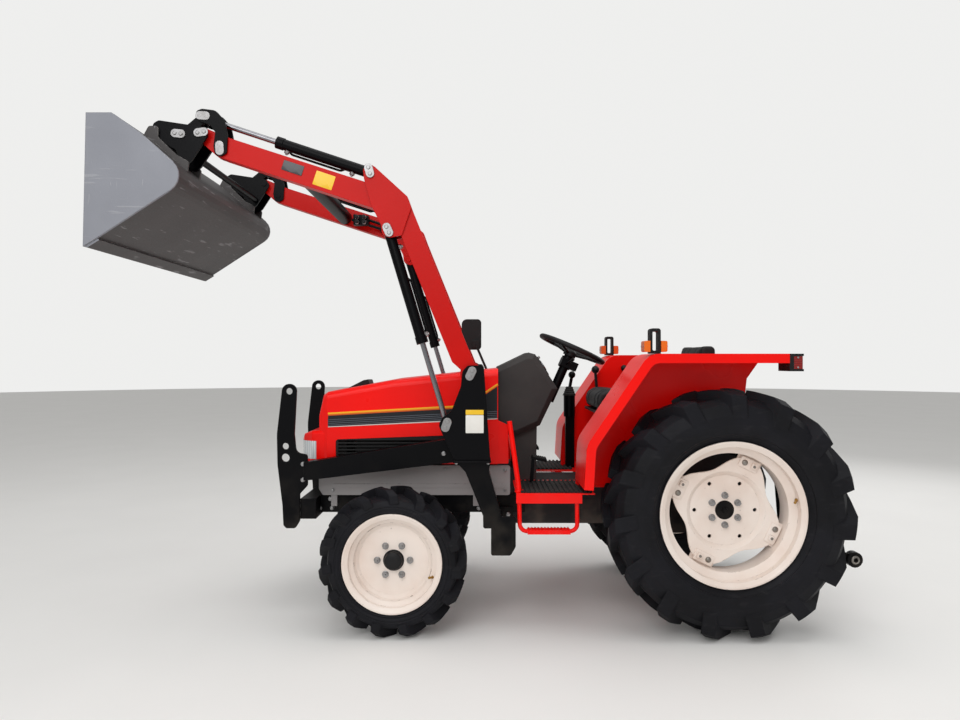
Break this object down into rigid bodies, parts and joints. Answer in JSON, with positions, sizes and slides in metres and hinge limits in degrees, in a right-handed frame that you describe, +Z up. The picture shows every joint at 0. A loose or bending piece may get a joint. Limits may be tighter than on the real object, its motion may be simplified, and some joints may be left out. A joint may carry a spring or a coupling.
{
  "type": "compact farm tractor with front loader",
  "caption": "Compact four-wheel-drive farm tractor with a raised front loader and tipped bucket, red body, red loader arms with black linkage, cream wheels and lugged tyres.",
  "frame": {"origin": "on the ground under the middle of the outline, in the plane of symmetry", "axes": "+X forward, +Y to the driver's left, +Z up"},
  "size_m": [3.5652, 1.354, 2.3995],
  "materials": {
    "black_paint": "satin",
    "cast_grey": "rough",
    "red_paint": "gloss",
    "loader_red": "gloss",
    "black_plastic": "matte",
    "dark_plastic": "matte",
    "lamp_glass": "gloss",
    "grey_paint": "satin",
    "yellow_trim": "gloss",
    "red_lens": "gloss",
    "amber_lens": "gloss",
    "seat_vinyl": "satin",
    "bare_steel": "satin",
    "tyre_rubber": "matte",
    "cream_paint": "gloss",
    "rod_chrome": "gloss",
    "bucket_grey": "satin"
  },
  "bodies": {
    "chassis": {"frame_rails": "black_paint", "engine_block": "cast_grey", "gearbox": "cast_grey", "rear_axle": "cast_grey", "front_axle": "cast_grey", "hood": "red_paint", "front_grille": "black_plastic", "headlamps": "lamp_glass", "side_grilles": "black_plastic", "side_panels": "grey_paint", "hood_stripes": "yellow_trim", "dash_cowl": "dark_plastic", "steering_column": "black_paint", "footplates": "red_paint", "steps": "red_paint", "fender_left": "red_paint", "fender_right": "red_paint", "tail_lamps": "red_lens", "turn_signals": "amber_lens", "signal_frames": "black_plastic", "seat_base": "black_paint", "seat_cushion": "seat_vinyl", "seat_back": "seat_vinyl", "loader_towers": "black_paint", "side_beams": "black_paint", "front_guards": "black_paint", "drawbar": "black_paint", "lower_links": "black_paint", "pto_shaft": "bare_steel", "rear_mirror": "black_plastic", "levers": "black_plastic", "pedals": "black_paint", "loader_valve": "black_paint"},
    "knuckle_left": {"knuckle_left": "cast_grey"},
    "knuckle_right": {"knuckle_right": "cast_grey"},
    "front_wheel_left": {"tyre_front_left": "tyre_rubber", "rim_front_left": "cream_paint"},
    "front_wheel_right": {"tyre_front_right": "tyre_rubber", "rim_front_right": "cream_paint"},
    "rear_wheel_left": {"tyre_rear_left": "tyre_rubber", "rim_rear_left": "cream_paint", "disc_rear_left": "cream_paint"},
    "rear_wheel_right": {"tyre_rear_right": "tyre_rubber", "rim_rear_right": "cream_paint", "disc_rear_right": "cream_paint"},
    "steering_wheel": {"steering_wheel": "black_plastic"},
    "boom": {"boom_left": "loader_red", "boom_right": "loader_red", "boom_tube": "black_paint", "boom_pipes": "black_paint"},
    "lift_barrels": {"lift_barrels": "black_paint"},
    "lift_rods": {"lift_rods": "rod_chrome"},
    "tilt_barrels": {"tilt_barrels": "black_paint"},
    "tilt_rods": {"tilt_rods": "rod_chrome"},
    "bell_cranks": {"bell_cranks": "black_paint"},
    "dump_links": {"dump_links": "black_paint"},
    "bucket": {"bucket_brackets": "black_paint", "bucket": "bucket_grey"}
  },
  "joints": [
    {"name": "steer_left", "type": "hinge", "parent": "chassis", "child": "knuckle_left", "pos_m": [0.447, 0.388, 0.336], "axis": [0, 0, 1], "range_deg": [-40, 40]},
    {"name": "steer_right", "type": "hinge", "parent": "chassis", "child": "knuckle_right", "pos_m": [0.447, -0.388, 0.336], "axis": [0, 0, 1], "range_deg": [-40, 40]},
    {"name": "steering_wheel_turn", "type": "hinge", "parent": "chassis", "child": "steering_wheel", "pos_m": [-0.435, 0, 1.308], "axis": [-0.4067, 0, 0.9135], "range_deg": [-480, 480]},
    {"name": "front_wheel_left_spin", "type": "hinge", "parent": "knuckle_left", "child": "front_wheel_left", "pos_m": [0.447, 0.52, 0.336], "axis": [0, 1, 0], "continuous": true},
    {"name": "front_wheel_right_spin", "type": "hinge", "parent": "knuckle_right", "child": "front_wheel_right", "pos_m": [0.447, -0.52, 0.336], "axis": [0, 1, 0], "continuous": true},
    {"name": "rear_wheel_left_spin", "type": "hinge", "parent": "chassis", "child": "rear_wheel_left", "pos_m": [-1.073, 0.508, 0.56], "axis": [0, 1, 0], "continuous": true},
    {"name": "rear_wheel_right_spin", "type": "hinge", "parent": "chassis", "child": "rear_wheel_right", "pos_m": [-1.073, -0.508, 0.56], "axis": [0, 1, 0], "continuous": true},
    {"name": "boom_lift", "type": "hinge", "parent": "chassis", "child": "boom", "pos_m": [0.094, 0, 1.188], "axis": [0, -1, 0], "range_deg": [-76, 4]},
    {"name": "bucket_tilt", "type": "hinge", "parent": "boom", "child": "bucket", "pos_m": [1.322, 0, 2.286], "axis": [0, 1, 0], "range_deg": [-130, 15]},
    {"name": "lift_barrel_turn", "type": "hinge", "parent": "boom", "child": "lift_barrels", "pos_m": [0.474, 0, 1.845], "axis": [0, -1, 0], "range_deg": [-0.26, 4.99]},
    {"name": "lift_rod_slide", "type": "slide", "parent": "lift_barrels", "child": "lift_rods", "axis": [-0.288, 0, -0.9576], "range_m": [-0.3125, 0.0164]},
    {"name": "tilt_barrel_turn", "type": "hinge", "parent": "boom", "child": "tilt_barrels", "pos_m": [0.559, 0, 2.116], "axis": [0, 1, 0], "range_deg": [-3.1, 0.36]},
    {"name": "tilt_rod_slide", "type": "slide", "parent": "tilt_barrels", "child": "tilt_rods", "axis": [0.9494, 0, 0.314], "range_m": [-0.1932, 0.0223]},
    {"name": "bell_crank_turn", "type": "hinge", "parent": "boom", "child": "bell_cranks", "pos_m": [1.244, 0, 2.22], "axis": [0, 1, 0], "range_deg": [-72.33, 8.35]},
    {"name": "dump_link_turn", "type": "hinge", "parent": "bell_cranks", "child": "dump_links", "pos_m": [1.321, 0, 2.368], "axis": [0, 1, 0], "range_deg": [-2.21, 19.18]}
  ],
  "couplings": [
    {"joint": "steer_right", "follows": "steer_left", "ratio": 1},
    {"joint": "steering_wheel_turn", "follows": "steer_left", "ratio": 12},
    {"joint": "lift_barrel_turn", "follows": "boom_lift", "ratio": -0.065631},
    {"joint": "lift_rod_slide", "follows": "boom_lift", "m_per_rad": 0.23562},
    {"joint": "tilt_barrel_turn", "follows": "bucket_tilt", "ratio": 0.023814},
    {"joint": "tilt_rod_slide", "follows": "bucket_tilt", "m_per_rad": 0.085168},
    {"joint": "bell_crank_turn", "follows": "bucket_tilt", "ratio": 0.55639},
    {"joint": "dump_link_turn", "follows": "bucket_tilt", "ratio": -0.14758}
  ]
}
